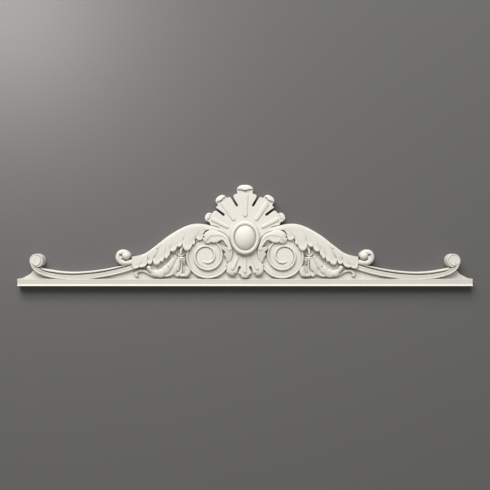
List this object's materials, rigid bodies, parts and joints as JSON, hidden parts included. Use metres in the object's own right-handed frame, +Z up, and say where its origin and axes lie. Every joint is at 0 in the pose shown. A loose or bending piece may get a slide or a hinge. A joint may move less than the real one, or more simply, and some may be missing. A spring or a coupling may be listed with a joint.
{
  "type": "relief wall ornament",
  "caption": "Long low relief ornament for the wall above a door: a sunburst round an oval boss, volutes, acanthus leaves and scrolled rails on a straight base strip.",
  "frame": {"origin": "on the flat back, behind the middle of the oval boss", "axes": "+X to the right along the base strip, seen from the front; +Y into the wall; +Z up"},
  "size_m": [1.2, 0.046, 0.2669],
  "materials": {
    "plaster": "matte off-white primer"
  },
  "bodies": {
    "root": {"relief_ornament": "plaster"}
  },
  "joints": []
}
